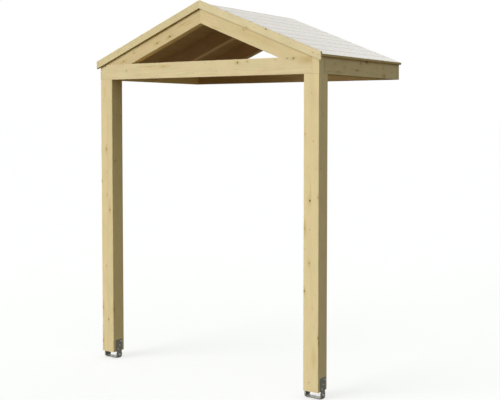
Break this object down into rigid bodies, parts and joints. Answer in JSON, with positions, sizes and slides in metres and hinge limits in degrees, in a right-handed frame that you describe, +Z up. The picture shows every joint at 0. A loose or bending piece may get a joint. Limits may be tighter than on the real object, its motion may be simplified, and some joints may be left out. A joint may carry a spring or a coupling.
{
  "type": "wooden door canopy",
  "caption": "Open timber canopy with a gabled board roof, carried by two front posts on steel anchors and by the house wall behind.",
  "frame": {"origin": "on the house wall, at the middle of the rear face of the back tie beam", "axes": "+X to the right seen from in front, +Y back into the wall, +Z up"},
  "size_m": [2.014, 1.27, 2.7516],
  "materials": {
    "planed_wood": "planed spruce, untreated, matt",
    "roof_boards": "pale planed roof boards, matt",
    "anchor_steel": "galvanised, dull dark grey"
  },
  "bodies": {
    "root": {"left_post": "planed_wood", "right_post": "planed_wood", "front_tie_beam": "planed_wood", "back_tie_beam": "planed_wood", "left_side_beam": "planed_wood", "right_side_beam": "planed_wood", "front_left_rafter": "planed_wood", "front_right_rafter": "planed_wood", "middle_left_rafter": "planed_wood", "middle_right_rafter": "planed_wood", "back_left_rafter": "planed_wood", "back_right_rafter": "planed_wood", "left_barge_board": "planed_wood", "right_barge_board": "planed_wood", "left_roof_deck": "roof_boards", "right_roof_deck": "roof_boards", "left_anchor_base": "anchor_steel", "right_anchor_base": "anchor_steel", "left_outer_strap": "anchor_steel", "left_inner_strap": "anchor_steel", "right_inner_strap": "anchor_steel", "right_outer_strap": "anchor_steel"}
  },
  "joints": []
}
